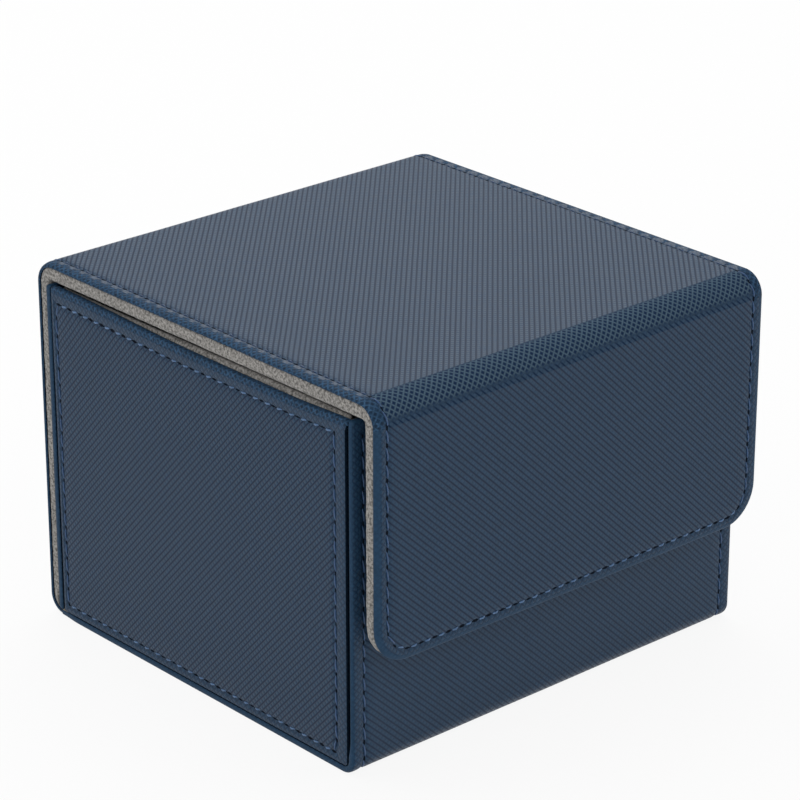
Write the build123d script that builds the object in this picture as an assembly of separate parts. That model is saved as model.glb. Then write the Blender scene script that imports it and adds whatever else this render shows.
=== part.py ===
from build123d import *
import os

# Card storage box: an open box with stitched leather walls, and a cover of three
# padded panels (back, lid and front flap) hinged on soft folds of its own leather.
# Millimetres. X runs along the front, Y from front to back, Z up.
# The origin is the middle of the underside of the closed box.

# Overall sizes
body_length = 144.8
overall_height = 110.0
body_depth = 131.1
flap_drop = 75.0
flap_corner = 11.6

# Sheet and board thicknesses
skin = 0.6
cover_board = 1.0
cover_lining = 3.2
wall_board = 1.5
wall_lining = 2.4

# Clear gaps between pieces
flap_gap = 4.2
lid_gap = 3.2
cover_setback = 0.5
end_panel_gap = 0.5
lining_inset = 0.4

# Roundings: folds are measured on their inner face
cover_fold_inner = 2.2
front_fold_inner = 2.4
rear_fold_inner = 4.4
hem_round = 1.2
lining_round = 0.8
end_panel_corner = 2.5

# Divider between the two rows of cards
divider_board_thickness = 1.4
divider_lining_thickness = 0.6
divider_drop = 14.0

# Closing magnets, one pair in the flap and one pair in the front wall
magnet_diameter = 14.0
magnet_spacing = 80.0
magnet_rise = 14.0
magnet_cover = 1.2
magnet_clearance = 0.1

# Worked out thicknesses
cover_shell = skin + cover_board
cover_panel = cover_shell + cover_lining
wall = skin + wall_board
cover_fold = cover_fold_inner + cover_panel
front_fold = front_fold_inner + wall
rear_fold = rear_fold_inner + cover_shell
cover_hem = min(hem_round, 0.8 * cover_shell)
wall_hem = min(hem_round, 0.8 * wall)
lining_edge = min(lining_round, 0.4 * cover_lining)

# Worked out places along Y
total_depth = body_depth + flap_gap + 2 * cover_panel
flap_face = -total_depth / 2
back_face = total_depth / 2
front_face = flap_face + cover_panel + flap_gap
rear_face = back_face - cover_panel
front_inside = front_face + wall
rear_inside = rear_face - wall
row_front = front_inside + wall_lining
row_rear = rear_inside - wall_lining

# Worked out places along X and Z
body_end = body_length / 2
cover_end = body_end - cover_setback
cover_length = 2 * cover_end
end_inside = body_end - wall
row_end = end_inside - wall_lining
lid_underside = overall_height - cover_panel
wall_top = lid_underside - lid_gap
floor_top = wall + wall_lining
flap_bottom = overall_height - flap_drop
fold_start = overall_height - cover_fold


def block(x_from, x_to, y_from, y_to, z_from, z_to):
    """A box between two corners."""
    centre = ((x_from + x_to) / 2, (y_from + y_to) / 2, (z_from + z_to) / 2)
    return Pos(*centre) * Box(x_to - x_from, y_to - y_from, z_to - z_from)


def fold_strip(length, y, z, outer, thickness, turn):
    """A quarter of a tube along X, the shape of a sheet turning a corner.

    The centre of the turn is at y, z; turn 0 is the corner that faces back and up.
    """
    ring = Circle(outer) - Circle(outer - thickness)
    quarter = ring & (Pos(outer / 2, outer / 2) * Rectangle(outer, outer))
    across = Plane(origin=(-length / 2, y, z), x_dir=(0, 1, 0), z_dir=(1, 0, 0))
    return extrude(across * (Rot(0, 0, turn) * quarter), length)


def flap_outline(inset):
    """The flap seen from the front, with its lower corners rounded, shrunk by inset."""
    width = cover_length - 2 * inset
    height = fold_start - flap_bottom - inset
    middle = flap_bottom + inset + height / 2
    shape = Pos(0, middle) * Rectangle(width, height)
    lower_corners = shape.vertices().group_by(Axis.Y)[0]
    return fillet(lower_corners, flap_corner - inset)


def flap_sheet(inset, y_from, y_to):
    """A sheet of the flap's outline between two distances along Y."""
    upright = Plane(origin=(0, y_from, 0), x_dir=(1, 0, 0), z_dir=(0, -1, 0))
    return extrude(upright * flap_outline(inset), -(y_to - y_from))


def end_outline(inset):
    """An end panel seen from the side, with rounded corners, shrunk by inset."""
    y_from = front_inside + end_panel_gap + inset
    y_to = rear_inside - end_panel_gap - inset
    z_from = wall + end_panel_gap + inset
    z_to = wall_top - inset
    shape = Pos((y_from + y_to) / 2, (z_from + z_to) / 2) * Rectangle(y_to - y_from, z_to - z_from)
    return fillet(shape.vertices(), end_panel_corner - inset)


def end_sheet(inset, x_from, x_to):
    """A sheet of the end panel's outline between two distances along X."""
    across = Plane(origin=(x_from, 0, 0), x_dir=(0, 1, 0), z_dir=(1, 0, 0))
    return extrude(across * end_outline(inset), x_to - x_from)


def disc_pair(radius, y_from, y_to):
    """Two discs side by side, standing on edge, with their axes along Y."""
    discs = []
    for side in (-1, 1):
        place = Plane(
            origin=(side * magnet_spacing / 2, y_from, flap_bottom + magnet_rise),
            x_dir=(1, 0, 0),
            z_dir=(0, -1, 0),
        )
        discs.append(extrude(place * Circle(radius), -(y_to - y_from)))
    return discs


nodes = {}

# Front wall: a board with leather turned round its ends and top, lined inside
body_core_end = body_end - skin
core_top = wall_top - skin
front_core = block(-body_core_end, body_core_end, front_face + skin, front_inside, front_fold, core_top)
front_wrap = block(-body_end, body_end, front_face, front_inside, front_fold, wall_top)
front_outer_edges = front_wrap.faces().sort_by(Axis.Y)[0].edges()
front_hems = front_outer_edges.filter_by(Axis.Z) + front_outer_edges.sort_by(Axis.Z)[-1:]
nodes["front_skin"] = fillet(front_hems, wall_hem) - front_core
front_pockets = disc_pair(magnet_diameter / 2 + magnet_clearance, front_face + skin, front_inside)
nodes["front_board"] = front_core - front_pockets
nodes["front_lining"] = block(-end_inside, end_inside, front_inside, row_front, floor_top, wall_top)

# Bottom: the same leather runs on under the box and turns up at the front and rear
bottom_from = front_face + front_fold
bottom_to = back_face - rear_fold
bottom_core = block(-body_core_end, body_core_end, bottom_from, bottom_to, skin, wall)
bottom_wrap = block(-body_end, body_end, bottom_from, bottom_to, 0, wall)
bottom_ends = bottom_wrap.faces().sort_by(Axis.Z)[0].edges().filter_by(Axis.Y)
front_turn = fold_strip(body_length, bottom_from, front_fold, front_fold, wall, 180)
rear_turn = fold_strip(cover_length, bottom_to, rear_fold, rear_fold, cover_shell, 270)
nodes["bottom_skin"] = (fillet(bottom_ends, wall_hem) - bottom_core) + front_turn + rear_turn
nodes["bottom_board"] = bottom_core
floor_pad = block(-end_inside, end_inside, front_inside, rear_inside, wall, floor_top)
nodes["floor_lining"] = floor_pad - front_turn

# Rear wall: stands on the bottom, leather on the outside, lined inside
rear_core = block(-body_core_end, body_core_end, rear_inside, rear_face - skin, wall, core_top)
rear_wrap = block(-body_end, body_end, rear_inside, rear_face, wall, wall_top)
rear_outer_edges = rear_wrap.faces().sort_by(Axis.Y)[-1].edges()
rear_hems = rear_outer_edges.filter_by(Axis.Z) + rear_outer_edges.sort_by(Axis.Z)[-1:]
nodes["rear_skin"] = fillet(rear_hems, wall_hem) - rear_core
nodes["rear_board"] = rear_core
nodes["rear_lining"] = block(-end_inside, end_inside, row_rear, rear_inside, floor_top, wall_top)

# End panels: stitched boards set between the front, bottom and rear, lined inside
end_core = end_sheet(skin, end_inside, body_end - skin)
end_wrap = end_sheet(0, end_inside, body_end)
end_hems = end_wrap.faces().sort_by(Axis.X)[-1].edges()
right_pieces = {
    "end_skin": fillet(end_hems, wall_hem) - end_core,
    "end_board": end_core,
    "end_lining": block(row_end, end_inside, row_front, row_rear, floor_top, wall_top),
}
for name, piece in right_pieces.items():
    nodes["right_" + name] = piece
    nodes["left_" + name] = mirror(piece, about=Plane.YZ)

# Divider: a lined board standing on the floor, between the two rows of cards
divider_top = wall_top - divider_drop
divider_half = divider_board_thickness / 2
divider_side = divider_half + divider_lining_thickness
divider_core = block(
    -divider_half, divider_half, row_front, row_rear, floor_top, divider_top - divider_lining_thickness
)
divider_wrap = block(-divider_side, divider_side, row_front, row_rear, floor_top, divider_top)
nodes["divider_board"] = divider_core
nodes["divider_lining"] = divider_wrap - divider_core

# Cover back: upright panel against the rear wall
back_inside = back_face - cover_shell
cover_core_end = cover_end - skin
lining_end = cover_end - lining_inset
back_core = block(-cover_core_end, cover_core_end, back_inside, back_face - skin, rear_fold, fold_start)
back_wrap = block(-cover_end, cover_end, back_inside, back_face, rear_fold, fold_start)
back_hems = back_wrap.faces().sort_by(Axis.Y)[-1].edges().filter_by(Axis.Z)
nodes["back_cover_skin"] = fillet(back_hems, cover_hem) - back_core
nodes["back_cover_board"] = back_core
back_pad = block(-lining_end, lining_end, rear_face, back_inside, rear_fold, fold_start)
back_pad_edges = back_pad.faces().sort_by(Axis.Y)[0].edges().filter_by(Axis.Z)
rear_hollow = Pos(0, bottom_to, rear_fold) * Rot(0, 90, 0) * Cylinder(rear_fold_inner, 2 * lining_end)
back_pad_foot = block(-lining_end, lining_end, rear_face, back_inside, wall, rear_fold) & rear_hollow
nodes["back_cover_lining"] = fillet(back_pad_edges, lining_edge) + back_pad_foot

# Lid: level panel between the two upper folds
lid_from = flap_face + cover_fold
lid_to = back_face - cover_fold
lid_inside = overall_height - cover_shell
lid_core = block(-cover_core_end, cover_core_end, lid_from, lid_to, lid_inside, overall_height - skin)
lid_wrap = block(-cover_end, cover_end, lid_from, lid_to, lid_inside, overall_height)
lid_hems = lid_wrap.faces().sort_by(Axis.Z)[-1].edges().filter_by(Axis.Y)
nodes["lid_skin"] = fillet(lid_hems, cover_hem) - lid_core
nodes["lid_board"] = lid_core
lid_pad = block(-lining_end, lining_end, lid_from, lid_to, lid_underside, lid_inside)
lid_pad_edges = lid_pad.faces().sort_by(Axis.Z)[0].edges().filter_by(Axis.Y)
nodes["lid_lining"] = fillet(lid_pad_edges, lining_edge)

# Flap: hangs in front of the front wall, with its lower corners rounded
flap_core = flap_sheet(skin, flap_face + skin, flap_face + cover_shell)
flap_wrap = flap_sheet(0, flap_face, flap_face + cover_shell)
flap_hems = flap_wrap.faces().sort_by(Axis.Y)[0].edges().sort_by(Axis.Z)[:-1]
nodes["flap_skin"] = fillet(flap_hems, cover_hem) - flap_core
nodes["flap_board"] = flap_core
flap_pad = flap_sheet(lining_inset, flap_face + cover_shell, flap_face + cover_panel)
flap_pad_edges = flap_pad.faces().sort_by(Axis.Y)[-1].edges().sort_by(Axis.Z)[:-1]
magnet_from = flap_face + cover_shell
magnet_to = flap_face + cover_panel - magnet_cover
flap_pockets = disc_pair(magnet_diameter / 2 + magnet_clearance, magnet_from, magnet_to)
nodes["flap_lining"] = fillet(flap_pad_edges, lining_edge) - flap_pockets

# Folds: the cover's leather and lining, left without a board so that they bend
lining_length = 2 * lining_end
lining_turn = cover_fold - cover_shell
nodes["lid_fold_skin"] = fold_strip(cover_length, lid_to, fold_start, cover_fold, cover_shell, 0)
nodes["lid_fold_lining"] = fold_strip(lining_length, lid_to, fold_start, lining_turn, cover_lining, 0)
nodes["flap_fold_skin"] = fold_strip(cover_length, lid_from, fold_start, cover_fold, cover_shell, 90)
nodes["flap_fold_lining"] = fold_strip(lining_length, lid_from, fold_start, lining_turn, cover_lining, 90)

# Magnets: thin discs in pockets, hidden by the leather and the lining
nodes["front_magnets"] = Compound(disc_pair(magnet_diameter / 2, front_face + skin, front_inside))
nodes["flap_magnets"] = Compound(disc_pair(magnet_diameter / 2, magnet_from, magnet_to))

os.makedirs("parts", exist_ok=True)
for name, piece in nodes.items():
    export_step(piece, os.path.join("parts", name + ".step"))
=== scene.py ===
import math
import bmesh
import bpy
from mathutils import Matrix, Vector, kdtree, noise


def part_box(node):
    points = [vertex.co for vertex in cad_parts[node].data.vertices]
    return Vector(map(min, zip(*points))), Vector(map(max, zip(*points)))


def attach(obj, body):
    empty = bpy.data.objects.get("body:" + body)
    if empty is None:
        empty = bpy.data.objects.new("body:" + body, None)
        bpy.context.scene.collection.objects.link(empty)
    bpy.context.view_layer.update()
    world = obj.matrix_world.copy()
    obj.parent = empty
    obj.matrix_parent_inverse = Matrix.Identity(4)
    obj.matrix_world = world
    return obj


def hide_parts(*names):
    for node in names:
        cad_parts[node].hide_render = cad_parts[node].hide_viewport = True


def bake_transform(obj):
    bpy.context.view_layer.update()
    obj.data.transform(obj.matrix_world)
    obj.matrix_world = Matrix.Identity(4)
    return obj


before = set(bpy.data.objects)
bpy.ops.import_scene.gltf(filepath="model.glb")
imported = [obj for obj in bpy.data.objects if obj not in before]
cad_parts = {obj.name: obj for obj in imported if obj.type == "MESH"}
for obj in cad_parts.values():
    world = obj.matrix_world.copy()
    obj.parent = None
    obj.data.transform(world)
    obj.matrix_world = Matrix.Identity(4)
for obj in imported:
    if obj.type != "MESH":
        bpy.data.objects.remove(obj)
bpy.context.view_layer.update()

# Stage: a pale sweep of floor in a softly lit room, with a softbox on each side, one overhead, a fill
# in front and a dimmer one behind, which the lid reflects. The floor keeps a trace of the shadow.
ROOM_GLOW, FLOOR_SHADE, FLOOR_GLOW, FLOOR_REACH = 0.3, 0.86, 0.9, 4.0
AIM = Vector((0, 0, 0.05))
STAND_OFF, SHIFT_ACROSS, SHIFT_UP = 1.00357, 0.000558, 0.063575
scene = bpy.context.scene
scene.view_settings.view_transform = "Standard"


def seen_share(tree, share):
    """A factor that is share for rays from the camera or off a glossy or clear surface, and else 0."""
    path = tree.nodes.new("ShaderNodeLightPath")
    total = path.outputs["Is Camera Ray"]
    for ray in ("Is Glossy Ray", "Is Transmission Ray"):
        either = tree.nodes.new("ShaderNodeMath")
        either.operation = "MAXIMUM"
        tree.links.new(total, either.inputs[0])
        tree.links.new(path.outputs[ray], either.inputs[1])
        total = either.outputs[0]
    part = tree.nodes.new("ShaderNodeMath")
    part.operation = "MULTIPLY"
    part.inputs[1].default_value = share
    tree.links.new(total, part.inputs[0])
    return part.outputs[0]


world = bpy.data.worlds.new("studio_room")
scene.world = world
world.use_nodes = True
room = world.node_tree
room.nodes["Background"].inputs["Color"].default_value = (1.0, 1.0, 1.0, 1.0)
room.nodes["Background"].inputs["Strength"].default_value = ROOM_GLOW

floor_paint = bpy.data.materials.new("floor_paint")
floor_paint.use_nodes = True
paint = floor_paint.node_tree
paint.nodes.remove(paint.nodes["Principled BSDF"])
matt_white = paint.nodes.new("ShaderNodeBsdfDiffuse")
matt_white.inputs["Color"].default_value = (FLOOR_SHADE, FLOOR_SHADE, FLOOR_SHADE, 1.0)
white_glow = paint.nodes.new("ShaderNodeEmission")
paint_mix = paint.nodes.new("ShaderNodeMixShader")
paint.links.new(seen_share(paint, FLOOR_GLOW), paint_mix.inputs["Fac"])
paint.links.new(matt_white.outputs["BSDF"], paint_mix.inputs[1])
paint.links.new(white_glow.outputs["Emission"], paint_mix.inputs[2])
paint.links.new(paint_mix.outputs["Shader"], paint.nodes["Material Output"].inputs["Surface"])

floor_bm = bmesh.new()
bmesh.ops.create_grid(floor_bm, x_segments=1, y_segments=1, size=FLOOR_REACH)
floor_mesh = bpy.data.meshes.new("floor")
floor_bm.to_mesh(floor_mesh)
floor_bm.free()
floor = bpy.data.objects.new("floor", floor_mesh)
floor.data.materials.append(floor_paint)
scene.collection.objects.link(floor)


def softbox(name, place, size, energy):
    """A square area lamp that faces the box."""
    lamp = bpy.data.lights.new(name, "AREA")
    lamp.shape = "SQUARE"
    lamp.size = size
    lamp.energy = energy
    holder = bpy.data.objects.new(name, lamp)
    holder.location = place
    holder.rotation_euler = (AIM - Vector(place)).to_track_quat("-Z", "Y").to_euler()
    scene.collection.objects.link(holder)


softbox("left_softbox", (-1.05, 0.95, 0.75), 1.1, 5.1)
softbox("right_softbox", (1.05, -0.95, 0.75), 1.1, 4.2)
softbox("overhead_softbox", (0.25, 0.45, 1.45), 1.3, 13.8)
softbox("back_softbox", (0.95, 1.06, 0.72), 1.0, 2.9)
softbox("front_softbox", (-0.95, -1.05, 0.85), 1.2, 6.6)

azimuth, elevation = math.radians(-41.724), math.radians(22.873)
level = math.cos(elevation)
toward = Vector((math.sin(azimuth) * level, -math.cos(azimuth) * level, math.sin(elevation)))
across = Vector((math.cos(azimuth), math.sin(azimuth), 0.0))
upward = toward.cross(across)
lens = bpy.data.cameras.new("camera")
lens.sensor_width = 36.0
lens.lens = 155.0
camera = bpy.data.objects.new("camera", lens)
camera.matrix_world = Matrix((across, upward, toward)).transposed().to_4x4()
camera.location = toward * STAND_OFF + across * SHIFT_ACROSS + upward * SHIFT_UP
scene.collection.objects.link(camera)
scene.camera = camera

# Boards: pressed paper board that keeps every leather panel flat, hidden when the box is whole.
# The CAD solids keep their shape and get a fibrous board finish.


def shader(name):
    """A new material, with its node tree and its Principled node."""
    material = bpy.data.materials.new(name)
    material.use_nodes = True
    return material, material.node_tree, material.node_tree.nodes["Principled BSDF"]


def node(tree, kind, inputs=(), **settings):
    """A new node with some of its settings, and some of its inputs as (name, value) pairs."""
    made = tree.nodes.new(kind)
    for key, value in settings.items():
        setattr(made, key, value)
    for key, value in inputs:
        made.inputs[key].default_value = value
    return made


def mottle(tree, coords, scale, detail, low, high, contrast):
    """Two colours mixed by a noise that reads the given coordinates."""
    cloud = node(tree, "ShaderNodeTexNoise", (("Scale", scale), ("Detail", detail), ("Roughness", 0.6)))
    tree.links.new(coords, cloud.inputs["Vector"])
    ramp = node(tree, "ShaderNodeValToRGB")
    ramp.color_ramp.elements[0].position = 0.5 - contrast
    ramp.color_ramp.elements[0].color = (*low, 1.0)
    ramp.color_ramp.elements[1].position = 0.5 + contrast
    ramp.color_ramp.elements[1].color = (*high, 1.0)
    tree.links.new(cloud.outputs["Fac"], ramp.inputs["Fac"])
    return cloud, ramp


def dress(cad_node, finish):
    """Give a CAD node that stays in view its finish."""
    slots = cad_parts[cad_node].data.materials
    slots.clear()
    slots.append(finish)


BOARD_DARK, BOARD_PALE = (0.22, 0.18, 0.13), (0.38, 0.33, 0.26)
board_finish, tree, skin = shader("pressed_board")
place = node(tree, "ShaderNodeTexCoord")
fibres, fibre_colour = mottle(tree, place.outputs["Object"], 900.0, 5.0, BOARD_DARK, BOARD_PALE, 0.2)
tree.links.new(fibre_colour.outputs["Color"], skin.inputs["Base Color"])
skin.inputs["Roughness"].default_value = 0.9
fibre_bump = node(tree, "ShaderNodeBump", (("Strength", 0.4), ("Distance", 0.0001)))
tree.links.new(fibres.outputs["Fac"], fibre_bump.inputs["Height"])
tree.links.new(fibre_bump.outputs["Normal"], skin.inputs["Normal"])

for board in ("front", "bottom", "rear", "left_end", "right_end", "divider", "back_cover", "lid", "flap"):
    dress(board + "_board", board_finish)

# Magnets: thin plated discs sunk in the front wall and in the flap, which hold the flap shut.
# They stay as CAD solids with a plated finish.
PLATE_DARK, PLATE_PALE = (0.52, 0.52, 0.54), (0.68, 0.68, 0.69)
plated_finish, tree, skin = shader("plated_disc")
place = node(tree, "ShaderNodeTexCoord")
haze_and_sheen, haze_colour = mottle(tree, place.outputs["Object"], 350.0, 3.0, PLATE_DARK, PLATE_PALE, 0.25)
tree.links.new(haze_colour.outputs["Color"], skin.inputs["Base Color"])
skin.inputs["Metallic"].default_value = 1.0
haze_rough = node(tree, "ShaderNodeMapRange", (("To Min", 0.18), ("To Max", 0.38)))
tree.links.new(haze_and_sheen.outputs["Fac"], haze_rough.inputs["Value"])
tree.links.new(haze_rough.outputs["Result"], skin.inputs["Roughness"])

for discs in ("front_magnets", "flap_magnets"):
    dress(discs, plated_finish)

# Front wall and bottom: one length of embossed synthetic leather drawn over two boards.
# Its edges are turned over and stitched, and it bends once, between the boards.
MM = 0.001
LATTICE, LATTICE_TURN = 1.405, 43.25
SKIN = 0.6
HEM_FLAT, HEM_GROOVE, HEM_ROW = 1.2, 3.45, 4.2
HEM_FACE = (
    (5.6, 0.0), (4.95, 0.08), (4.6, 0.24), (HEM_ROW, 0.36), (3.8, 0.24), (HEM_GROOVE, 0.10), (2.9, 0.03),
)
SOFT_EDGE = ((2.0, 0.0), (HEM_FLAT, 0.02), (0.65, 0.10), (0.27, 0.32), (0.06, 0.62), (0.0, 0.95))
PUFFED_EDGE = ((2.0, 0.09), (HEM_FLAT, 0.24), (0.65, 0.45), (0.27, 0.70), (0.06, 0.93), (0.0, 1.1))
CRISP_EDGE = ((2.0, 0.0), (HEM_FLAT, 0.02), (0.45, 0.06), (0.2, 0.17), (0.05, 0.35), (0.0, 0.6))
EDGE_START, EDGE_SLOPE, HEM_FADE = 2.95, 0.05, 0.8
TIGHT_CORNER, TURN_IN, TURN_IN_WIDTH = 0.3, 0.12, 4.0
FACE, ROUNDED, IN_SHADE, HEM = range(4)
MESH_STEP, FACE_DEPTH, HEM_DEPTH = 8.0, 0.4, 0.7
UNEVENNESS, UNEVEN_RATE, UNEVEN_START = 0.05, 0.04, 1.7
STITCH_PITCH, STITCH_LEAN, STRAND_GAP, STRAND_SHIFT = 4.9, 0.15, 0.3, 0.37
THREAD, UPRIGHT_THREAD, THREAD_LIFT = 0.54, 0.5, 0.17
# The dark hole discs are painted shade for a hole and its shadow, longest in rows that run across.
LONG_HOLE, SHORT_HOLE, LID_HOLE = (3.0, 1.1, 1.0), (1.9, 1.35, 1.0), (3.2, 1.6, 1.0)
HOLE_ASIDE, HOLE_SINK = 0.25, 0.06
STEEP_DIP, SHALLOW_DIP = 2.3, 0.45
LIT_STRAND, HOLE, SHADED_STRAND = range(3)
DRAW_DEPTH, DRAW_REACH = 0.13, 1.25
ALONG, ATHWART = (0.93, 0.33), (0.30, 1.0)
HEM_PRESS, EDGE_PRESS, ROLLED_PRESS = 0.6, 0.2, 1.0
FOLD_OPEN, FOLD_SHUT, FOLD_FADE = 0.06, 0.72, 0.2
CREASE = math.radians(50)


def turned_edge(thickness, hollow=True, edge=SOFT_EDGE):
    """The section of a panel's edge: the stitched hem, the rounded edge and the turned-in back.

    Each ring is its distance in from the outline and its depth below the face.
    """
    back = ((0.0, thickness - 0.45), (0.08, thickness - 0.2), (0.35, thickness - 0.02))
    if not hollow:
        return HEM_FACE + edge + back + ((SKIN, thickness),)
    margin = thickness + TURN_IN
    turned_in = (
        (0.7, margin), (TURN_IN_WIDTH, margin), (TURN_IN_WIDTH, thickness), (SKIN, thickness),
        (SKIN, SKIN + 0.02),
    )
    return HEM_FACE + edge + back + turned_in


def row_shift(inset, row):
    """Where a ring of the hem lies on a side whose stitched row has its own distance from the edge."""
    if inset <= HEM_FLAT:
        return inset
    if inset >= HEM_GROOVE:
        return inset + row - HEM_ROW
    share = (inset - HEM_FLAT) / (HEM_GROOVE - HEM_FLAT)
    return HEM_FLAT + share * (HEM_GROOVE + row - HEM_ROW - HEM_FLAT)


def ring_place(co, size, corner, rows, old, new):
    """Where a point of a rounded outline goes when its ring moves further in or out."""
    moved = co.copy()
    for axis in (0, 1):
        row = rows[axis][co[axis] > 0]
        was, now = row_shift(old, row), row_shift(new, row)
        round_was, round_now = max(corner - was, TIGHT_CORNER), max(corner - now, TIGHT_CORNER)
        straight_was = size[axis] / 2 - was - round_was
        straight_now = size[axis] / 2 - now - round_now
        on_side = min(max(co[axis], -straight_was), straight_was)
        past_side = co[axis] - on_side
        moved[axis] = on_side * straight_now / straight_was + past_side * round_now / round_was
    return moved


def held(share):
    """A share held between 0 and 1."""
    return min(max(share, 0.0), 1.0)


def panel(size, corner, section, rows=((HEM_ROW, HEM_ROW), (HEM_ROW, HEM_ROW)), spacing=0.8):
    """A panel lying in XY, face up at height 0, whose edge follows a section.

    It also gives the line of its stitched row. The attribute sheet keeps where each point
    lies on the flat sheet, in millimetres, and 1 in its third place out in the hem.
    Its finishes are those of its face, its rounded edge, its turned-in back, which is glued down
    and darkened with painted shade, and the flat of its hem.
    """
    bm = bmesh.new()
    sheet = bm.verts.layers.float_vector.new("sheet")
    bmesh.ops.create_grid(bm, x_segments=1, y_segments=1, size=0.5)
    bmesh.ops.scale(bm, vec=(*size, 1), verts=bm.verts)
    bmesh.ops.bevel(
        bm, geom=bm.verts[:], offset=corner, affect="VERTICES", segments=10, profile=0.5, material=-1,
    )
    for side in [e for e in bm.edges if e.calc_length() > 2 * spacing]:
        bmesh.ops.bisect_edges(bm, edges=[side], cuts=round(side.calc_length() / spacing) - 1)

    run = [section[0][0]]
    for one, two in zip(section, section[1:]):
        run.append(run[-1] - math.dist(one, two))
    edge = [inset for inset, depth in section].index(0.0)
    row_line = []

    def set_ring(face, old, index):
        inset, depth = section[index]
        hem = held((HEM_ROW + HEM_FADE / 2 - inset) / HEM_FADE) if index <= edge else 1.0
        for v in face.verts:
            v.co = ring_place(v.co, size, corner, rows, old, inset)
            v.co.z = -depth
            laid = ring_place(v.co, size, corner, rows, inset, run[index])
            v[sheet] = (laid.x, laid.y, hem)
        if inset == HEM_ROW:
            row_line.extend(v.co.copy() for v in face.verts)

    under = bm.faces[:][0]
    set_ring(under, 0.0, edge + 1)
    raised = bmesh.ops.extrude_face_region(bm, geom=[under])["geom"]
    face = next(g for g in raised if isinstance(g, bmesh.types.BMFace))
    set_ring(face, 0.0, edge)
    for f in bm.faces:
        f.material_index = ROUNDED
    for index in range(edge - 1, -1, -1):
        inset, depth = section[index]
        rounded = inset < EDGE_START and depth > EDGE_SLOPE
        face.material_index = ROUNDED if rounded else HEM if inset < HEM_ROW else FACE
        bmesh.ops.inset_region(bm, faces=[face], thickness=0.0)
        set_ring(face, section[index + 1][0], index)
    face.material_index = FACE
    for index in range(edge + 2, len(section)):
        under.material_index = ROUNDED if section[index][0] < SKIN else IN_SHADE
        bmesh.ops.inset_region(bm, faces=[under], thickness=0.0)
        set_ring(under, section[index - 1][0], index)
    bmesh.ops.recalc_face_normals(bm, faces=bm.faces)
    return bm, row_line


def slice_across(bm, axis, at, **clear):
    """Cut a panel across X (axis 0) or Y (axis 1), and clear one side if asked."""
    point, normal = Vector(), Vector()
    point[axis], normal[axis] = at, 1.0
    everything = bm.verts[:] + bm.edges[:] + bm.faces[:]
    bmesh.ops.bisect_plane(bm, geom=everything, dist=0.001, plane_co=point, plane_no=normal, **clear)


def cut_for_bend(bm, start, end, steps):
    """Cut a panel across in even steps from start to end, so that it can bend there."""
    for step in range(1, steps):
        slice_across(bm, 1, start + (end - start) * step / steps)


def settle(bm):
    """Cut the flat of a panel into a mesh and give it the faint unevenness of stretched leather."""
    for axis in (0, 1):
        low = min(v.co[axis] for v in bm.verts)
        high = max(v.co[axis] for v in bm.verts)
        for step in range(math.ceil((low + 1) / MESH_STEP), math.floor((high - 1) / MESH_STEP) + 1):
            slice_across(bm, axis, step * MESH_STEP)
    for v in bm.verts:
        if v.co.z > -FACE_DEPTH:
            spot = Vector((v.co.x * UNEVEN_RATE, v.co.y * UNEVEN_RATE, UNEVEN_START))
            v.co.z -= UNEVENNESS + UNEVENNESS * noise.noise(spot)


def eased(share):
    """A share held between 0 and 1, with soft ends."""
    share = held(share)
    return share * share * (3 - 2 * share)


def press_lines(bm, depths, later=None, start=0.0, end=1.0, at_edge=EDGE_PRESS):
    """Set how deep the two crossing sets of embossed lines are, which may change over a fold.

    The lines are flattened in the hem, where the sheet is double, and more or less so on the
    rounded edge. Both are at full depth in the fold, where the third place of the attribute calls for
    the fold's colours of painted reflection.
    """
    sheet = bm.verts.layers.float_vector["sheet"]
    press = bm.verts.layers.float_vector.new("press")
    in_hem, in_fold = Vector((HEM_PRESS, HEM_PRESS, 0)), Vector((1, 1, 1))
    for v in bm.verts:
        share = (v[sheet].y - start) / (end - start)
        pressed = Vector((*depths, 0))
        if later:
            pressed = pressed.lerp(Vector((*later, 0)), eased(share))
            # Where the fold's painted reflection comes in and fades out again.
            fold_paint_share = eased(share / FOLD_OPEN) * (1 - eased((share - FOLD_SHUT) / FOLD_FADE))
            pressed = pressed.lerp(in_fold, fold_paint_share)
        in_hem.z = pressed.z
        v[press] = pressed.lerp(in_hem, v[sheet].z)
        if all(f.material_index == ROUNDED for f in v.link_faces):
            v[press] = (at_edge, at_edge, pressed.z)


def stretch(blank, start, end=None, steps=0):
    """One length of a long panel, cut off square at start and end, with steps cuts where it bends."""
    bm = blank.copy()
    slice_across(bm, 1, start, clear_inner=True)
    if end is not None:
        slice_across(bm, 1, end, clear_outer=True)
    cut_for_bend(bm, start, end, steps)
    settle(bm)
    return bm


def bend(bm, start, radius, backward=False):
    """Roll what lies beyond start (or before it) round a fold whose outer face has this radius."""
    for v in bm.verts:
        past = v.co.y - start
        if (past < 0) == backward:
            reach = radius + v.co.z
            v.co.y = start + reach * math.sin(past / radius)
            v.co.z = reach * math.cos(past / radius) - radius


def stand(bm, rise, out, origin, start=0.0):
    """Set a flat panel up so that its Y runs along rise and its face looks out.

    The point at start on its middle line comes to origin.
    """
    rise, out = Vector(rise), Vector(out)
    turn = Matrix((rise.cross(out), rise, out)).transposed().to_4x4()
    turn.translation = Vector(origin) - rise * start
    bmesh.ops.transform(bm, matrix=turn, verts=bm.verts)


def needle_holes(line):
    """The needle holes along a line of points, at even steps from its first point to its last."""
    runs = [(two - one).length for one, two in zip(line, line[1:])]
    count = max(round(sum(runs) / STITCH_PITCH), 1)
    step = sum(runs) / count
    holes, done, index = [line[0]], 0.0, 0
    for k in range(1, count):
        while done + runs[index] < k * step:
            done += runs[index]
            index += 1
        holes.append(line[index].lerp(line[index + 1], (k * step - done) / runs[index]))
    return holes + [line[-1]]


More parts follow.
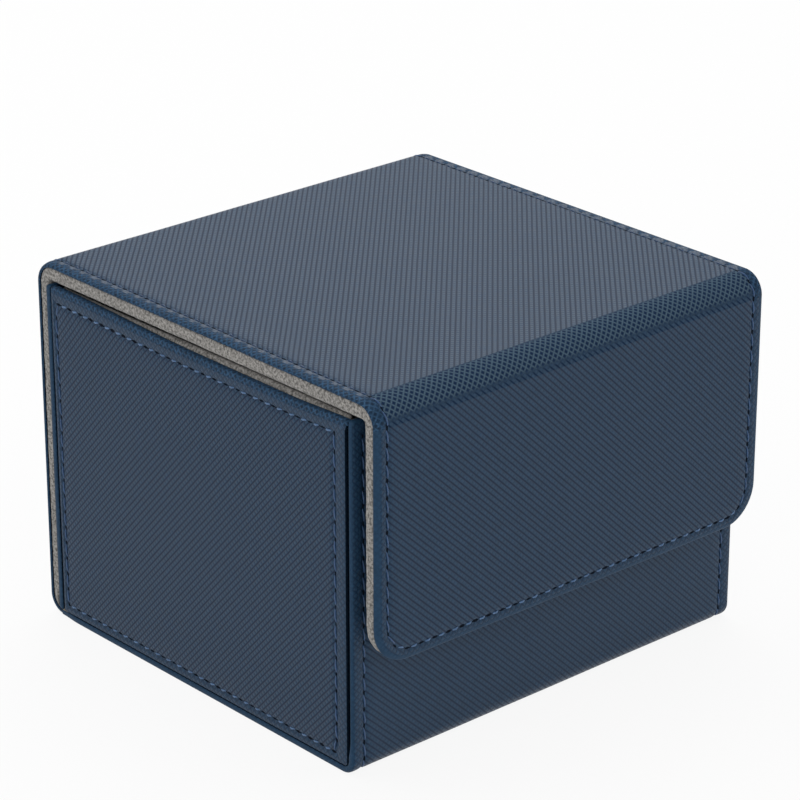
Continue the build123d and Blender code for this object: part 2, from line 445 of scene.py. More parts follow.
def row_beyond(row_line, start):
    """The part of a closed row that lies beyond start along Y, as one open line."""
    count = len(row_line)
    first = next(i for i in range(count) if row_line[i - 1].y <= start < row_line[i].y)
    line = []
    while row_line[first % count].y > start:
        line.append(row_line[first % count])
        first += 1
    ends = [Vector((line[i].x, start, line[i].z)) for i in (0, -1)]
    return [ends[0]] + line + [ends[1]]


def side_holes(row_line, start, end):
    """The needle holes of a long panel's two straight rows, between two places along it."""
    depth = row_line[0].z
    reach = max(p.x for p in row_line)
    rows = [[Vector((side * reach, at, depth)) for at in (start, end)] for side in (-1, 1)]
    return [needle_holes(row) for row in rows]


def draw_down(bm, rows):
    """Pull the leather down round each needle hole."""
    holes = [hole for row in rows for hole in row]
    tree = kdtree.KDTree(len(holes))
    for index, hole in enumerate(holes):
        tree.insert((hole.x, hole.y, 0), index)
    tree.balance()
    for v in bm.verts:
        if v.co.z > -HEM_DEPTH:
            gap = tree.find((v.co.x, v.co.y, 0))[2]
            v.co.z -= DRAW_DEPTH * math.exp(-((gap / DRAW_REACH) ** 2))


def sew(rows, upright_hole=SHORT_HOLE, upright_dip=SHALLOW_DIP):
    """The stitches of some rows of needle holes, each strand dipping into a hole at both ends.

    Each hole is a dark disc of painted shade, for the hole and the shadow round it. A row that runs
    across has long discs, and its strands dip steeply and are painted lighter, as lit. In an upright
    row the strands are thinner and painted darker, as shaded, and the discs lie nearer to the edge.
    """
    bm = bmesh.new()
    strand = bm.verts.layers.float_vector.new("strand")
    for row in rows:
        for number, (one, two) in enumerate(zip(row, row[1:])):
            length = (two - one).length - STRAND_GAP
            turn = math.atan2(two.y - one.y, two.x - one.x) + STITCH_LEAN
            heading = Matrix.Rotation(turn, 4, "Z")
            made = bmesh.ops.create_uvsphere(bm, u_segments=8, v_segments=8, radius=0.5)["verts"]
            for v in made:
                round_it = math.atan2(v.co.y, v.co.x) / math.tau
                v[strand] = (v.co.z * length, round_it, number * STRAND_SHIFT)
            bmesh.ops.rotate(bm, verts=made, cent=(0, 0, 0), matrix=Matrix.Rotation(math.pi / 2, 3, "Y"))
            upright = abs(two.y - one.y) > abs(two.x - one.x)
            width = UPRIGHT_THREAD if upright else THREAD
            bmesh.ops.scale(bm, vec=(length, width, THREAD), verts=made)
            for face in {f for v in made for f in v.link_faces}:
                # Strands of rows that run across take the lit thread, those of upright rows the shaded
                # thread.
                face.material_index = SHADED_STRAND if upright else LIT_STRAND
            dip = upright_dip if upright else STEEP_DIP
            for v in made:
                v.co.z += THREAD_LIFT - dip * (2 * v.co.x / length) ** 2
            bmesh.ops.transform(bm, matrix=Matrix.Translation((one + two) / 2) @ heading, verts=made)
            for hole in (one, two) if number == 0 else (two,):
                disc = bmesh.ops.create_circle(bm, cap_ends=True, segments=10, radius=0.5)["verts"]
                bmesh.ops.scale(bm, vec=upright_hole if upright else LONG_HOLE, verts=disc)
                aside = math.copysign(HOLE_ASIDE, hole.x) if upright else 0.0
                place = Matrix.Translation(hole + Vector((aside, 0, -HOLE_SINK)))
                bmesh.ops.transform(bm, matrix=place @ heading, verts=disc)
                for face in disc[0].link_faces:
                    face.material_index = HOLE
    return bm


def to_piece(name, bm, finishes, closed=True):
    """Close and smooth a mesh made in millimetres, and make it a piece with its finishes."""
    open_edges = [e for e in bm.edges if e.is_boundary]
    if closed and open_edges:
        bmesh.ops.holes_fill(bm, edges=open_edges, sides=0)
        bmesh.ops.recalc_face_normals(bm, faces=bm.faces)
    for f in bm.faces:
        f.smooth = True
    for e in bm.edges:
        e.smooth = len(e.link_faces) == 2 and e.calc_face_angle() < CREASE
    bmesh.ops.scale(bm, vec=(MM, MM, MM), verts=bm.verts)
    mesh = bpy.data.meshes.new(name)
    bm.to_mesh(mesh)
    bm.free()
    piece = bpy.data.objects.new(name, mesh)
    for finish in finishes:
        piece.data.materials.append(finish)
    scene.collection.objects.link(piece)
    return piece


def span(cad_node):
    """The lowest and highest corners of a CAD node, in millimetres."""
    return [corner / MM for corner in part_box(cad_node)]


LEATHER_DARK, LEATHER_LIGHT = (0.0150, 0.0460, 0.0910), (0.0195, 0.0565, 0.1110)
# Painted shade: the lattice's grooves are darkened in the colour, as if shaded.
PAINTED_GROOVE_SHADE = (0.17, 0.25, 0.40, 1.0)
# Painted reflection: in the fold the lattice's lines are painted paler than its darker cells, where the
# groove walls would reflect the lamps.
FOLD_CELL, PAINTED_FOLD_LINE = (0.0085, 0.0220, 0.0570, 1.0), (0.066, 0.110, 0.155, 1.0)
ROLLED_CELL, ROLLED_LINE = (0.0100, 0.0290, 0.0620, 1.0), (0.030, 0.076, 0.145, 1.0)


def leather(name, shine, groove_rough, tint=1.0, speckle=0.1, rolled=None, haze_and_sheen=0.0):
    """Synthetic leather with a lattice pressed into it, which reads the flat sheet.

    In the fold its lines are painted paler than its cells, a painted reflection of the lamps in the
    groove walls. The lattice of a rolled edge is pulled open all over, and it has its own colours of
    cell and line. Leather that keeps almost none of its shine in the fold gets a grey painted sheen in
    its colour instead.
    """
    finish, tree, skin = shader(name)
    sheet = node(tree, "ShaderNodeAttribute", attribute_name="sheet")
    lattice_turn = (0, 0, math.radians(LATTICE_TURN))
    lattice_scale = (1 / LATTICE, 1 / LATTICE, 1)
    turned = node(tree, "ShaderNodeMapping", (("Rotation", lattice_turn), ("Scale", lattice_scale)))
    tree.links.new(sheet.outputs["Vector"], turned.inputs["Vector"])
    lattice = node(tree, "ShaderNodeSeparateXYZ")
    tree.links.new(turned.outputs["Vector"], lattice.inputs["Vector"])
    press = node(tree, "ShaderNodeAttribute", attribute_name="press")
    depth = node(tree, "ShaderNodeSeparateXYZ")
    tree.links.new(press.outputs["Vector"], depth.inputs["Vector"])
    relief = node(tree, "ShaderNodeMath", operation="MAXIMUM")
    for index, axis in enumerate("XY"):
        step = node(tree, "ShaderNodeMath", operation="FRACT")
        tree.links.new(lattice.outputs[axis], step.inputs[0])
        centred = node(tree, "ShaderNodeMath", ((1, 2.0), (2, -1.0)), operation="MULTIPLY_ADD")
        tree.links.new(step.outputs[0], centred.inputs[0])
        beside = node(tree, "ShaderNodeMath", operation="ABSOLUTE")
        tree.links.new(centred.outputs[0], beside.inputs[0])
        furrow = node(tree, "ShaderNodeMapRange", (("From Min", 0.35),), interpolation_type="SMOOTHSTEP")
        tree.links.new(beside.outputs[0], furrow.inputs["Value"])
        pressed = node(tree, "ShaderNodeMath", operation="MULTIPLY")
        tree.links.new(furrow.outputs["Result"], pressed.inputs[0])
        tree.links.new(depth.outputs[axis], pressed.inputs[1])
        tree.links.new(pressed.outputs[0], relief.inputs[index])
    # The fold's leather gets a grey added to its colour, painted sheen in place of its shine.
    dark_blue, light_blue = [[haze_and_sheen + tint * c for c in blue] for blue in (LEATHER_DARK, LEATHER_LIGHT)]
    spread, tone = mottle(tree, sheet.outputs["Vector"], 0.35, 4.0, dark_blue, light_blue, 0.22)
    # Painted shade in the grooves: the colour is multiplied by the groove shade as deep as they are
    # pressed.
    shade = node(tree, "ShaderNodeMix", data_type="RGBA", blend_type="MULTIPLY")
    tree.links.new(relief.outputs[0], shade.inputs["Factor"])
    tree.links.new(tone.outputs["Color"], shade.inputs["A"])
    shade.inputs["B"].default_value = PAINTED_GROOVE_SHADE
    # Pale lines on dark cells: a painted reflection in the fold, and a rolled edge's own colours.
    stretched = node(tree, "ShaderNodeMix", data_type="RGBA")
    tree.links.new(relief.outputs[0], stretched.inputs["Factor"])
    cell, line = rolled or (FOLD_CELL, PAINTED_FOLD_LINE)
    stretched.inputs["A"].default_value = cell
    stretched.inputs["B"].default_value = line
    colour = node(tree, "ShaderNodeMix", (("Factor", 1.0),), data_type="RGBA")
    if not rolled:
        tree.links.new(depth.outputs["Z"], colour.inputs["Factor"])
    tree.links.new(shade.outputs["Result"], colour.inputs["A"])
    tree.links.new(stretched.outputs["Result"], colour.inputs["B"])
    less, more = (1 - speckle,) * 3, (1 + speckle,) * 3
    grain_shade = mottle(tree, sheet.outputs["Vector"], 1.5, 2.0, less, more, 0.15)[1]
    grained = node(tree, "ShaderNodeMix", (("Factor", 1.0),), data_type="RGBA", blend_type="MULTIPLY")
    tree.links.new(colour.outputs["Result"], grained.inputs["A"])
    tree.links.new(grain_shade.outputs["Color"], grained.inputs["B"])
    tree.links.new(grained.outputs["Result"], skin.inputs["Base Color"])
    polish = node(tree, "ShaderNodeMapRange", (("To Min", 0.32), ("To Max", 0.46)))
    tree.links.new(spread.outputs["Fac"], polish.inputs["Value"])
    hem_dull = node(tree, "ShaderNodeMath", ((1, 0.35),), operation="MULTIPLY")
    tree.links.new(lattice.outputs["Z"], hem_dull.inputs[0])
    dull = node(tree, "ShaderNodeMath", operation="MAXIMUM")
    tree.links.new(relief.outputs[0], dull.inputs[0])
    tree.links.new(hem_dull.outputs[0], dull.inputs[1])
    fold_dull = node(tree, "ShaderNodeMath", operation="MAXIMUM")
    tree.links.new(dull.outputs[0], fold_dull.inputs[0])
    tree.links.new(depth.outputs["Z"], fold_dull.inputs[1])
    rough = node(tree, "ShaderNodeMix", (("B", groove_rough),), data_type="FLOAT")
    tree.links.new(fold_dull.outputs[0], rough.inputs["Factor"])
    tree.links.new(polish.outputs["Result"], rough.inputs["A"])
    tree.links.new(rough.outputs["Result"], skin.inputs["Roughness"])
    skin.inputs["Specular IOR Level"].default_value = shine
    pores = node(tree, "ShaderNodeTexNoise", (("Scale", 4.2), ("Detail", 3.0), ("Roughness", 0.6)))
    tree.links.new(sheet.outputs["Vector"], pores.inputs["Vector"])
    pore_bump = node(tree, "ShaderNodeBump", (("Strength", 0.35), ("Distance", 0.00006)))
    tree.links.new(pores.outputs["Fac"], pore_bump.inputs["Height"])
    press_bump = node(tree, "ShaderNodeBump", (("Strength", 1.0), ("Distance", 0.00012)), invert=True)
    tree.links.new(relief.outputs[0], press_bump.inputs["Height"])
    tree.links.new(pore_bump.outputs["Normal"], press_bump.inputs["Normal"])
    tree.links.new(press_bump.outputs["Normal"], skin.inputs["Normal"])
    return finish


face_leather = leather("embossed_leather", 0.23, 0.56)
turned_leather = leather("turned_leather_edge", 0.13, 0.75, 1.05)
rolled_leather = leather("rolled_leather_edge", 0.12, 0.75, 1.0, 0.35, (ROLLED_CELL, ROLLED_LINE))
# Painted shade: the turned-in backs, and the sides of the end panels in their gaps, are darkened to 15
# per cent of the leather's colour.
shaded_leather = leather("leather_in_painted_shade", 0.02, 0.95, 0.15)
# The lid's hem is glossier and painted a little lighter; laid out in lobes, it is a painted highlight
# between the stitches.
highlight_hem_leather = leather("lid_hem_leather", 0.5, 0.5, 1.1)
# Painted sheen: the fold's leather keeps almost none of its shine, and a grey in its colour stands for
# it.
fold_reflection_leather = leather("folded_leather_painted_sheen", 0.03, 0.6, haze_and_sheen=0.02)
leather_finishes = [face_leather, turned_leather, shaded_leather, face_leather]
rolled_finishes = [face_leather, rolled_leather, shaded_leather, face_leather]
lid_finishes = [face_leather, rolled_leather, shaded_leather, highlight_hem_leather]
lid_fold_finishes = [face_leather, rolled_leather, shaded_leather, rolled_leather]
flap_fold_finishes = [fold_reflection_leather, rolled_leather, shaded_leather, rolled_leather]


def thread(name, low, high):
    """Twisted polyester thread."""
    finish, tree, skin = shader(name)
    strand = node(tree, "ShaderNodeAttribute", attribute_name="strand")
    twist_rate = (("Scale", 0.45), ("Distortion", 0.6))
    twist = node(tree, "ShaderNodeTexWave", twist_rate, bands_direction="DIAGONAL")
    tree.links.new(strand.outputs["Vector"], twist.inputs["Vector"])
    ply_colour = mottle(tree, strand.outputs["Vector"], 1.6, 3.0, low, high, 0.25)[1]
    tree.links.new(ply_colour.outputs["Color"], skin.inputs["Base Color"])
    skin.inputs["Roughness"].default_value = 0.35
    twist_bump = node(tree, "ShaderNodeBump", (("Strength", 0.5), ("Distance", 0.0001)))
    tree.links.new(twist.outputs["Fac"], twist_bump.inputs["Height"])
    tree.links.new(twist_bump.outputs["Normal"], skin.inputs["Normal"])
    return finish


# Lit and shaded copies of one thread: the lit one is painted lighter, for rows that run across; the
# shaded ones are painted darker, for upright rows and, darker still, for the lid's row.
lit_thread = thread("lit_blue_thread", (0.046, 0.110, 0.230), (0.135, 0.250, 0.460))
shaded_thread = thread("shaded_thread", (0.021, 0.058, 0.140), (0.050, 0.118, 0.262))
lid_shaded_thread = thread("lid_shaded_thread", (0.011, 0.030, 0.078), (0.034, 0.080, 0.180))

# Needle holes: dark discs of painted shade, standing for each hole and the shadow round it.
HOLE_BLACK, HOLE_BLUE = (0.003, 0.005, 0.010), (0.008, 0.012, 0.020)
hole_shade_finish, tree, skin = shader("needle_hole")
place = node(tree, "ShaderNodeTexCoord")
hole_colour = mottle(tree, place.outputs["Object"], 2500.0, 2.0, HOLE_BLACK, HOLE_BLUE, 0.2)[1]
tree.links.new(hole_colour.outputs["Color"], skin.inputs["Base Color"])
skin.inputs["Roughness"].default_value = 0.95
skin.inputs["Specular IOR Level"].default_value = 0.05

stitch_finishes = [lit_thread, hole_shade_finish, shaded_thread]
lid_stitch_finishes = [lid_shaded_thread, hole_shade_finish, lid_shaded_thread]

BOTTOM_TAPER, BOTTOM_TAPER_RUN = 0.5, 8.0
STRIP_CORNER, BOTTOM_FOLD_STEPS = 1.5, 12
FRONT_LIFT, FRONT_PINCH, FRONT_PINCH_RUN = 0.8, 0.7, 6.0
RIM_WIDTH, RIM_DEPTH = 0.5, 1.2
FRONT_LINES = (0.28, 0.88)
front_low, front_high = span("front_skin")
bottom_low, bottom_high = span("bottom_board")
front_fold = front_low.z
bottom_run = bottom_high.y - bottom_low.y
front_start = bottom_run + front_fold * math.pi / 2
front_run = front_high.z - front_low.z + FRONT_LIFT
strip_size = (front_high.x - front_low.x, 2 * (front_start + front_run))
wall_edge = turned_edge(front_high.y - front_low.y)

strip, strip_row = panel(strip_size, STRIP_CORNER, wall_edge)
bottom_rows = side_holes(strip_row, 0.0, front_start)
front_rows = [needle_holes(row_beyond(strip_row, front_start))]
draw_down(strip, bottom_rows + front_rows)

bottom_leather = stretch(strip, 0.0, front_start)
cut_for_bend(bottom_leather, bottom_run, front_start, BOTTOM_FOLD_STEPS)
for v in bottom_leather.verts:
    v.co.x *= 1 - 2 * BOTTOM_TAPER / strip_size[0] * (1 - eased(v.co.y / BOTTOM_TAPER_RUN))
press_lines(bottom_leather, FRONT_LINES)
bottom_stitching = sew(bottom_rows)
for part in (bottom_leather, bottom_stitching):
    bend(part, bottom_run, front_fold)
    stand(part, (0, -1, 0), (0, 0, -1), (0, bottom_high.y, 0))
bottom_leather = to_piece("bottom_leather", bottom_leather, leather_finishes)
bottom_stitching = to_piece("bottom_stitching", bottom_stitching, stitch_finishes, False)

front_leather = stretch(strip, front_start)
for v in front_leather.verts:
    if abs(v.co.x) > strip_size[0] / 2 - RIM_WIDTH and v.co.z < -RIM_DEPTH:
        v.co.z += FRONT_PINCH * eased((v.co.y - front_start) / FRONT_PINCH_RUN)
press_lines(front_leather, FRONT_LINES)
front_stitching = sew(front_rows)
for part in (front_leather, front_stitching):
    stand(part, (0, 0, 1), (0, -1, 0), (0, front_low.y, front_low.z), front_start)
front_leather = to_piece("front_wall_leather", front_leather, leather_finishes)
front_stitching = to_piece("front_wall_stitching", front_stitching, stitch_finishes, False)
strip.free()

for piece in (bottom_leather, bottom_stitching, front_leather, front_stitching):
    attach(piece, "box")
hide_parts("bottom_skin")
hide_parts("front_skin")

# Rear wall and end panels: boards covered in the same leather, turned in and stitched all round.
# The end panels stand between the front, the bottom and the rear wall.
END_FRONT_ROW, END_REAR_ROW, END_BOTTOM_ROW, END_TOP_ROW = 4.85, 2.25, 2.2, 4.5
END_CORNER, END_PLAY, END_DROP = 1.3, -0.3, 0.45
END_LINES = (1.0, 0.62)
ROLLED_TOP = 2.0
REAR_RISE, FRONT_RISE, RISE_FROM, FRONT_RISE_FROM = 1.5, 0.8, 0.7, 0.6
REAR_SWELL, FRONT_SWELL, SWELL_FROM, SWELL_RUN = 0.35, 0.8, 0.94, 0.05
REAR_CORNER, REAR_LIFT = 1.0, 1.3


def swell_top(part, size, rearward):
    """Let the top of an end panel rise and swell at both ends. Its rear lies rearward along X."""
    for v in part.verts:
        up, rear = 2 * v.co.y / size[1], 2 * v.co.x * rearward / size[0]
        front_swell = FRONT_SWELL * eased((up - SWELL_FROM) / SWELL_RUN)
        v.co.x += rearward * rear * (REAR_SWELL * eased(up) if rear > 0 else front_swell)
        front_share = (-rear - FRONT_RISE_FROM) / (1 - FRONT_RISE_FROM)
        rise = REAR_RISE * eased(rear) + FRONT_RISE * eased(front_share)
        v.co.y += rise * eased((up - RISE_FROM) / (1 - RISE_FROM))


def stitched_wall(
    name, cad_node, out, corner, rows, depths, edge=SOFT_EDGE, play=0.0, drop=0.0, lift=0.0,
):
    """A wall panel with its row of stitching, standing where its CAD node is.

    An end panel has a crisp edge, glued in its gap and darkened there with painted shade, with a
    rolled top that swells at both ends.
    It may have play before it, hang lower or stand higher than its CAD node.
    """
    out = Vector(out)
    low, high = span(cad_node)
    extent, middle = high - low, (low + high) / 2
    along = Vector((0, 0, 1)).cross(out)
    size = (abs(along.dot(extent)) - play, extent.z + drop + lift)
    middle += Vector((0, play / 2, (lift - drop) / 2))
    set_in_gap = edge == CRISP_EDGE
    leather, row_line = panel(size, corner, turned_edge(abs(out.dot(extent)), True, edge), rows)
    holes = [needle_holes(row_line + row_line[:1])]
    draw_down(leather, holes)
    settle(leather)
    if set_in_gap:
        for f in leather.faces:
            below_top = size[1] / 2 - f.calc_center_median().y
            # The sides of an end panel inside its gap take the painted shade.
            if f.material_index == ROUNDED and below_top > corner:
                f.material_index = IN_SHADE
            if f.material_index == HEM and below_top < ROLLED_TOP:
                f.material_index = ROUNDED
    press_lines(leather, depths, at_edge=ROLLED_PRESS if set_in_gap else EDGE_PRESS)
    stitching = sew(holes)
    for part in (leather, stitching):
        if set_in_gap:
            swell_top(part, size, along.y)
        stand(part, (0, 0, 1), out, middle + out * abs(out.dot(extent)) / 2)
    finishes = rolled_finishes if set_in_gap else leather_finishes
    leather = to_piece(name + "_leather", leather, finishes)
    stitching = to_piece(name + "_stitching", stitching, stitch_finishes, False)
    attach(leather, "box")
    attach(stitching, "box")
    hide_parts(cad_node)


end_fit = (CRISP_EDGE, END_PLAY, END_DROP)
end_upright = (END_BOTTOM_ROW + END_DROP, END_TOP_ROW)
rear_rows = ((HEM_ROW, HEM_ROW), (HEM_ROW, HEM_ROW))
stitched_wall("rear_wall", "rear_skin", (0, 1, 0), REAR_CORNER, rear_rows, ALONG, lift=REAR_LIFT)
left_rows = ((END_REAR_ROW, END_FRONT_ROW), end_upright)
right_rows = ((END_FRONT_ROW, END_REAR_ROW), end_upright)
stitched_wall("left_end", "left_end_skin", (-1, 0, 0), END_CORNER, left_rows, END_LINES, *end_fit)
stitched_wall("right_end", "right_end_skin", (1, 0, 0), END_CORNER, right_rows, END_LINES[::-1], *end_fit)

# Box lining: grey microfibre over thin foam, glued to the inside of the walls and the floor.
# Its edges are rolled, and the tops of the end linings show as a strip under the lid.
LINING_DARK, LINING_PALE = (0.085, 0.081, 0.075), (0.43, 0.413, 0.389)
PAD_CORNER, PAD_SPACING = 1.0, 3.0
END_CROWN, END_SQUEEZE = 1.1, 0.7
CROWN_REACH, CROWN_FALL, CROWN_FALL_FROM, CROWN_FALL_RUN = 3.0, 0.35, 0.3, 0.5
lining_finish, tree, skin = shader("grey_microfibre")
place = node(tree, "ShaderNodeTexCoord")
nap_colour = mottle(tree, place.outputs["Object"], 1300.0, 4.0, LINING_DARK, LINING_PALE, 0.14)[1]
tree.links.new(nap_colour.outputs["Color"], skin.inputs["Base Color"])
skin.inputs["Roughness"].default_value = 0.95
skin.inputs["Specular IOR Level"].default_value = 0.2
skin.inputs["Sheen Weight"].default_value = 0.25
skin.inputs["Sheen Roughness"].default_value = 0.5
clump = node(tree, "ShaderNodeTexNoise", (("Scale", 700.0), ("Detail", 5.0), ("Roughness", 0.65)))
tree.links.new(place.outputs["Object"], clump.inputs["Vector"])
nap_bump = node(tree, "ShaderNodeBump", (("Strength", 0.7), ("Distance", 0.0003)))
tree.links.new(clump.outputs["Fac"], nap_bump.inputs["Height"])
tree.links.new(nap_bump.outputs["Normal"], skin.inputs["Normal"])


def wall_lining(cad_node, rise, out, crown=0.0, squeeze=0.0):
    """A lining pad with rolled edges, standing where its CAD node is.

    An end lining is squeezed in between the front and rear ones, and its front is crowned up.
    """
    rise, out = Vector(rise), Vector(out)
    low, high = span(cad_node)
    low.y -= squeeze
    high.y += squeeze
    extent, middle = high - low, (low + high) / 2
    size = (abs(rise.cross(out).dot(extent)), abs(rise.dot(extent)))
    thickness = abs(out.dot(extent))
    section = (
        (2.2, 0.0), (1.2, 0.1), (0.5, 0.35), (0.12, 0.75), (0.0, 1.2),
        (0.12, 1.65), (0.5, 2.05), (1.2, thickness),
    )
    pad = panel(size, PAD_CORNER, section, spacing=PAD_SPACING)[0]
    settle(pad)
    stand(pad, rise, out, middle + out * thickness / 2)
    for v in pad.verts:
        if crown and v.co.z > high.z - CROWN_REACH:
            rearward = (v.co.y - low.y) / extent.y
            v.co.z += crown * (1 - CROWN_FALL * eased((rearward - CROWN_FALL_FROM) / CROWN_FALL_RUN))
    pad = to_piece(cad_node + "_pad", pad, [lining_finish] * 4)
    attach(pad, "box")
    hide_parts(cad_node)


wall_lining("front_lining", (0, 0, 1), (0, 1, 0))
wall_lining("rear_lining", (0, 0, 1), (0, -1, 0))
wall_lining("left_end_lining", (0, 0, 1), (1, 0, 0), END_CROWN, END_SQUEEZE)
wall_lining("right_end_lining", (0, 0, 1), (-1, 0, 0), END_CROWN, END_SQUEEZE)
wall_lining("floor_lining", (0, 1, 0), (0, 0, 1))

# Divider: a board in a sleeve of the same microfibre, standing on the floor between the two rows.
# The sleeve is one sheet folded over the top of the board.
SLEEVE_ROUND, FACES_DOWN, RIDGE_REACH = 0.9, -0.9, 0.1
divider_low, divider_high = span("divider_lining")
sleeve_thickness = divider_high.x - span("divider_board")[1].x
sleeve = bmesh.new()
bmesh.ops.create_cube(sleeve, size=1.0)
bmesh.ops.scale(sleeve, vec=divider_high - divider_low, verts=sleeve.verts)
bmesh.ops.translate(sleeve, vec=(divider_low + divider_high) / 2, verts=sleeve.verts)
underside = [f for f in sleeve.faces if f.normal.z < FACES_DOWN]
bmesh.ops.delete(sleeve, geom=underside, context="FACES_ONLY")
ridge = [e for e in sleeve.edges if all(v.co.z > divider_high.z - RIDGE_REACH for v in e.verts)]
bmesh.ops.bevel(
    sleeve, geom=ridge, offset=SLEEVE_ROUND, affect="EDGES", segments=6, profile=0.5, material=-1,
)
bmesh.ops.solidify(sleeve, geom=sleeve.faces[:], thickness=sleeve_thickness)
bmesh.ops.recalc_face_normals(sleeve, faces=sleeve.faces)
sleeve = to_piece("divider_sleeve", sleeve, [lining_finish])
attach(sleeve, "box")
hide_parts("divider_lining")

# Cover leather: one long sheet that rises behind the box, folds over as the lid and down as the flap.
# Its long edges and its rounded lower end are turned over and stitched. Its folds hold no board.
COVER_ROW, FLAP_ROW = 4.0, 3.3
FLAP_CORNER = 11.6
FOLD_STEPS, REAR_FOLD_STEPS = 22, 14
LOBE_SLOPE, LOBE_GAP = 0.5, 0.4

back_low, back_high = span("back_cover_skin")
lid_low, lid_high = span("lid_skin")
flap_low, flap_high = span("flap_skin")
rear_fold = back_low.z
lid_fold = lid_high.z - back_high.z
cover_thickness = lid_high.z - lid_low.z
quarter = lid_fold * math.pi / 2
back_start = rear_fold * math.pi / 2
back_end = back_start + back_high.z - back_low.z
lid_start = back_end + quarter
lid_end = lid_start + lid_high.y - lid_low.y
flap_start = lid_end + quarter
cover_run = flap_start + flap_high.z - flap_low.z
cover_width = lid_high.x - lid_low.x
cover_size = (cover_width, 2 * cover_run)
cover_rows = ((COVER_ROW, COVER_ROW), (FLAP_ROW, FLAP_ROW))

back_frame = ((0, 0, 1), (0, 1, 0), (0, back_high.y, back_low.z), back_start)
lid_fold_frame = ((0, 0, 1), (0, 1, 0), (0, back_high.y, back_high.z), back_end)
lid_frame = ((0, -1, 0), (0, 0, 1), (0, lid_high.y, lid_high.z), lid_start)
flap_fold_frame = ((0, -1, 0), (0, 0, 1), (0, lid_low.y, lid_high.z), lid_end)
flap_frame = ((0, 0, -1), (0, -1, 0), (0, flap_low.y, flap_high.z), flap_start)
rear_bend = (back_start, rear_fold, True)
lid_bend = (back_end, lid_fold)
flap_bend = (lid_end, lid_fold)

board_edge, fold_edge = [turned_edge(cover_thickness, hollow, PUFFED_EDGE) for hollow in (True, False)]
sheet_with_boards, cover_row = panel(cover_size, FLAP_CORNER, board_edge, cover_rows)
sheet_alone = panel(cover_size, FLAP_CORNER, fold_edge, cover_rows)[0]
back_rows = side_holes(cover_row, 0.0, back_end)
lid_fold_rows = side_holes(cover_row, back_end, lid_start)
lid_rows = side_holes(cover_row, lid_start, lid_end)
flap_fold_rows = side_holes(cover_row, lid_end, flap_start)
flap_rows = [needle_holes(row_beyond(cover_row, flap_start))]
for blank in (sheet_with_boards, sheet_alone):
    draw_down(blank, back_rows + lid_fold_rows + lid_rows + flap_fold_rows + flap_rows)


def paint_hem_lobes(leather, rows):
    """Paint highlight lobes on the lid's hem: its lighter, glossier finish stays beside each stitch, the
    rolled edge's darker finish goes beside each hole.
    """
    holes = sorted(hole.y for hole in rows[0])
    half_pitch = (holes[1] - holes[0]) / 2
    for f in leather.faces:
        middle = f.calc_center_median()
        inset = cover_width / 2 - abs(middle.x)
        along = min(abs(middle.y - hole) for hole in holes) / half_pitch
        if f.material_index == HEM and along < (COVER_ROW - LOBE_GAP - inset) * LOBE_SLOPE:
            f.material_index = ROUNDED


def cover_piece(name, leather, finishes, rows, frame_at, bent=None):
    """One stretch of the cover and its stitching, bent if it holds a fold, and stood in its place.

    The lid's hem gets painted highlight lobes, and its strands, painted darker as shaded, dip steeply
    into wide holes.
    """
    if name == "lid":
        paint_hem_lobes(leather, rows)
        stitching, threads = sew(rows, LID_HOLE, STEEP_DIP), lid_stitch_finishes
    else:
        stitching, threads = sew(rows), stitch_finishes
    at_edge = EDGE_PRESS if finishes == leather_finishes else ROLLED_PRESS
    press_lines(leather, ALONG, ATHWART, lid_end, flap_start, at_edge)
    for part in (leather, stitching):
        if bent:
            bend(part, *bent)
        stand(part, *frame_at)
    leather = to_piece(name + "_leather", leather, finishes)
    stitching = to_piece(name + "_stitching", stitching, threads, False)
    return leather, stitching


back_sheet = stretch(sheet_with_boards, 0.0, back_end)
cut_for_bend(back_sheet, 0.0, back_start, REAR_FOLD_STEPS)
back_pieces = cover_piece("back_cover", back_sheet, leather_finishes, back_rows, back_frame, rear_bend)
lid_fold_sheet = stretch(sheet_alone, back_end, lid_start, FOLD_STEPS)
lid_fold_pieces = cover_piece(
    "lid_fold", lid_fold_sheet, lid_fold_finishes, lid_fold_rows, lid_fold_frame, lid_bend,
)
lid_sheet = stretch(sheet_with_boards, lid_start, lid_end)
lid_pieces = cover_piece("lid", lid_sheet, lid_finishes, lid_rows, lid_frame)
flap_fold_sheet = stretch(sheet_alone, lid_end, flap_start, FOLD_STEPS)
flap_fold_pieces = cover_piece(
    "flap_fold", flap_fold_sheet, flap_fold_finishes, flap_fold_rows, flap_fold_frame, flap_bend,
)
flap_sheet = stretch(sheet_with_boards, flap_start)
flap_pieces = cover_piece("flap", flap_sheet, leather_finishes, flap_rows, flap_frame)
sheet_with_boards.free()
sheet_alone.free()

for pieces, body, cad_node in (
    (back_pieces, "box", "back_cover_skin"),
    (lid_pieces, "lid", "lid_skin"),
    (flap_pieces, "flap", "flap_skin"),
):
    for piece in pieces:
        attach(piece, body)
    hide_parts(cad_node)
for piece in lid_fold_pieces:
    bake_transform(piece)
for piece in flap_fold_pieces:
    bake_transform(piece)
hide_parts("lid_fold_skin")
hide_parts("flap_fold_skin")

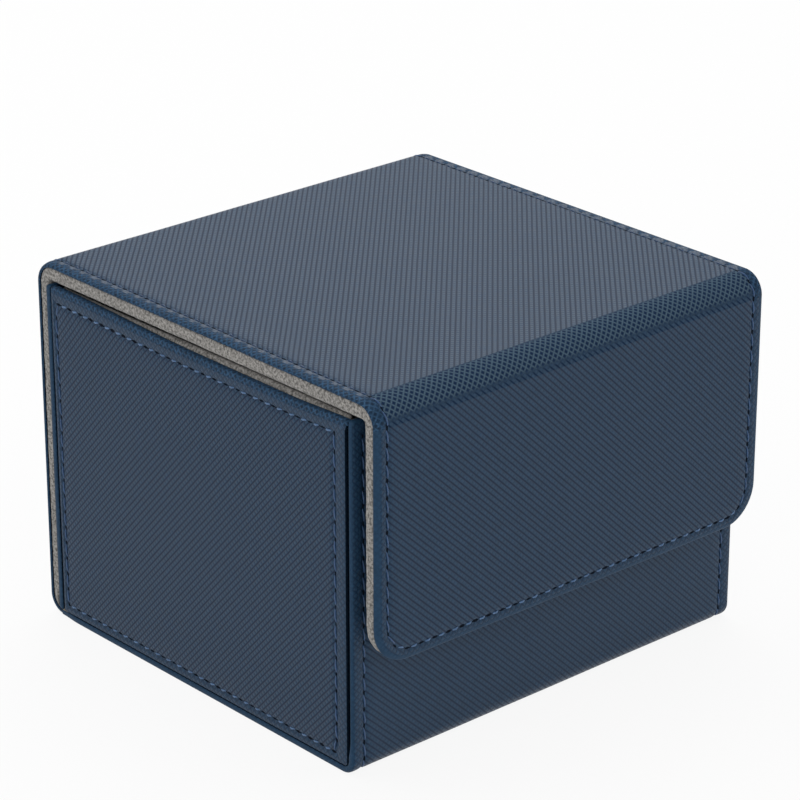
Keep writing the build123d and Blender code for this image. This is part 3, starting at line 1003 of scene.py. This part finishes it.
# Cover lining: a foam-backed sheet of the microfibre, glued inside the cover from end to end.
# It follows the folds, and its thick rolled edge shows as a grey band beside the leather.
LINING_FOOT, FOOT_SHARE, LINING_FACE, LINING_SPACING = 6.5, 0.15, 1.2, 1.5
LINING_PUFF, FLAP_PUFF_LOSS, LINING_FRAY, FRAY_RATE = 0.9, 0.5, 0.16, 0.55
lining_low, lining_high = span("lid_lining")
lining_width = lining_high.x - lining_low.x
lining_inset = (cover_width - lining_width) / 2
lining_top = cover_thickness
lining_under = lid_high.z - lining_low.z
lining_size = (lining_width, cover_size[1] - 2 * lining_inset)
lining_section = (
    (2.5, lining_top), (0.35, lining_top), (0.08, lining_top + 0.3), (0.0, lining_top + 0.7),
    (0.0, lining_under - 1.5), (0.06, lining_under - 1.0), (0.25, lining_under - 0.5),
    (0.65, lining_under - 0.12), (1.4, lining_under),
)
lining_corner = FLAP_CORNER - lining_inset
lining_sheet = panel(lining_size, lining_corner, lining_section, spacing=LINING_SPACING)[0]

lining_stretches = (
    ("back_cover_lining", back_start - LINING_FOOT, back_end, 0, back_frame, rear_bend),
    ("lid_fold_lining", back_end, lid_start, FOLD_STEPS, lid_fold_frame, lid_bend),
    ("lid_lining", lid_start, lid_end, 0, lid_frame, None),
    ("flap_fold_lining", lid_end, flap_start, FOLD_STEPS, flap_fold_frame, flap_bend),
    ("flap_lining", flap_start, None, 0, flap_frame, None),
)
linings = {}
for name, start, end, steps, frame_at, bent in lining_stretches:
    pad = stretch(lining_sheet, start, end, steps)
    for v in pad.verts:
        foot = held((v.co.y - back_start + LINING_FOOT) / LINING_FOOT)
        over_lid, over_flap = [held((v.co.y - at) / quarter) for at in (back_end, lid_end)]
        puff = LINING_PUFF * (over_lid - FLAP_PUFF_LOSS * over_flap)
        v.co.x += LINING_FRAY * noise.noise(v.co * FRAY_RATE) * math.copysign(1.0, v.co.x)
        below = -v.co.z - lining_top
        if below > LINING_FACE:
            v.co.z = -lining_top - below * (FOOT_SHARE + (1 - FOOT_SHARE) * foot) - puff
    if bent:
        bend(pad, *bent)
    stand(pad, *frame_at)
    linings[name] = to_piece(name + "_pad", pad, [lining_finish] * 4)
lining_sheet.free()

for name, body in (("back_cover_lining", "box"), ("lid_lining", "lid"), ("flap_lining", "flap")):
    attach(linings[name], body)
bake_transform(linings["lid_fold_lining"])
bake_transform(linings["flap_fold_lining"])
for name, pad in linings.items():
    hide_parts(name)
